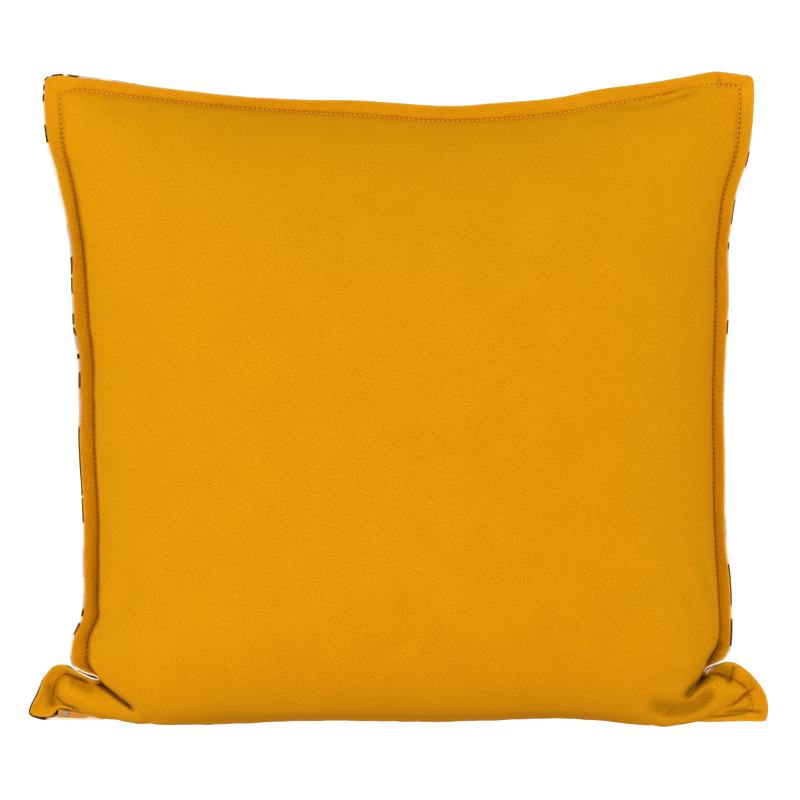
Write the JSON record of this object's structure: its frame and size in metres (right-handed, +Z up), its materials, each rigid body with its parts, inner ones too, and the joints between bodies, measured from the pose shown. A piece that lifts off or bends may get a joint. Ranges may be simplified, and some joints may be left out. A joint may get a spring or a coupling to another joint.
{
  "type": "cushion cover",
  "caption": "Filled square cushion cover of plain twill with a flat topstitched flange all round and folded lower corners, lying on its back.",
  "frame": {"origin": "under the middle of the cushion's outline, on the resting face", "axes": "+Z up out of the plain face, +Y towards the upper edge, +X to the right seen from above"},
  "size_m": [0.4534, 0.402, 0.1234],
  "materials": {
    "mustard_twill": "matt cotton twill, mustard yellow",
    "printed_cloth": "matt cotton print in brown, cream and grey",
    "zip_tape": "orange woven tape with a closed coil",
    "zip_metal": "small pressed metal end stop"
  },
  "bodies": {
    "root": {"front_cushion": "mustard_twill", "back_panel": "printed_cloth", "zip_tape": "zip_tape", "zip_stop": "zip_metal"}
  },
  "joints": []
}
